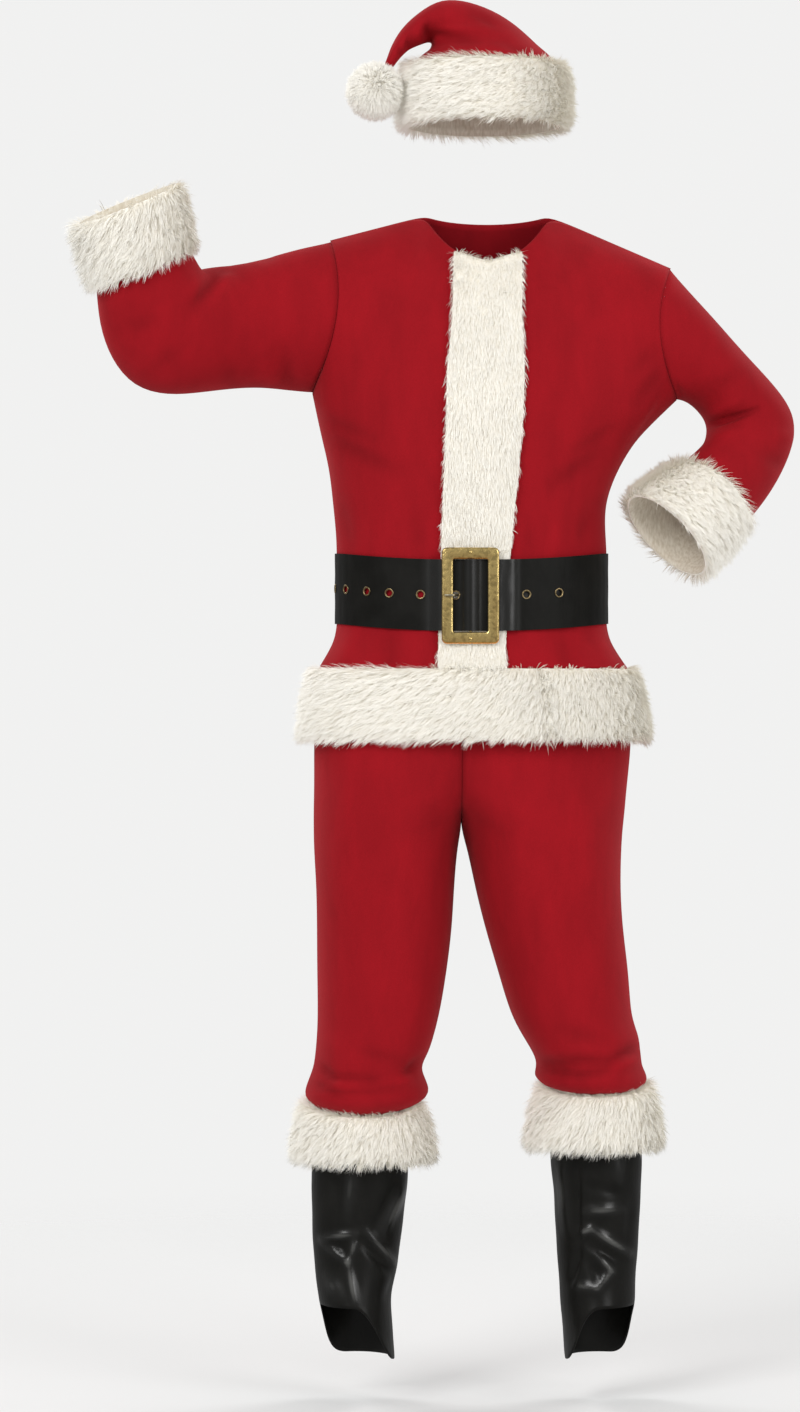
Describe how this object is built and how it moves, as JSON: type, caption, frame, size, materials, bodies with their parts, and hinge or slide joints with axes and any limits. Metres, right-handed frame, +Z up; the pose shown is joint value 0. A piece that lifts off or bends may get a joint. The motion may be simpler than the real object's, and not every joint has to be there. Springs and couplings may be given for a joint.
{
  "type": "santa suit",
  "caption": "Red velour santa suit with white fur bands: jacket with a wide black buckled belt, trousers, boot tops and hat, hollow, held in a wearer's pose",
  "frame": {"origin": "the base of the neck, on the middle line of the neck hole, where the suit hangs from a wearer's shoulders", "axes": "X to the wearer's left, Y to the back, Z up; the front of the suit faces -Y"},
  "size_m": [0.9835, 0.3553, 1.8498],
  "materials": {
    "red_cloth": "matt",
    "white_fur": "matt",
    "black_vinyl": "satin",
    "brass": "polished"
  },
  "bodies": {
    "root": {"jacket_front_right": "red_cloth", "jacket_front_left": "red_cloth", "jacket_back": "red_cloth", "sleeve_right": "red_cloth", "sleeve_left": "red_cloth", "trouser_leg_right": "red_cloth", "trouser_leg_left": "red_cloth", "trouser_waistband": "red_cloth", "hat_crown": "red_cloth", "front_fur_band": "white_fur", "hem_fur_band": "white_fur", "sleeve_cuff_right": "white_fur", "sleeve_cuff_left": "white_fur", "leg_cuff_right": "white_fur", "leg_cuff_left": "white_fur", "hat_band": "white_fur", "hat_pompom": "white_fur", "belt_strap": "black_vinyl", "boot_top_right": "black_vinyl", "boot_top_left": "black_vinyl", "buckle_frame": "brass", "buckle_bar": "brass", "buckle_prong": "brass", "eyelet_1": "brass", "eyelet_2": "brass", "eyelet_3": "brass", "eyelet_4": "brass", "eyelet_5": "brass", "eyelet_6": "brass", "eyelet_7": "brass", "eyelet_8": "brass", "eyelet_9": "brass"}
  },
  "joints": []
}
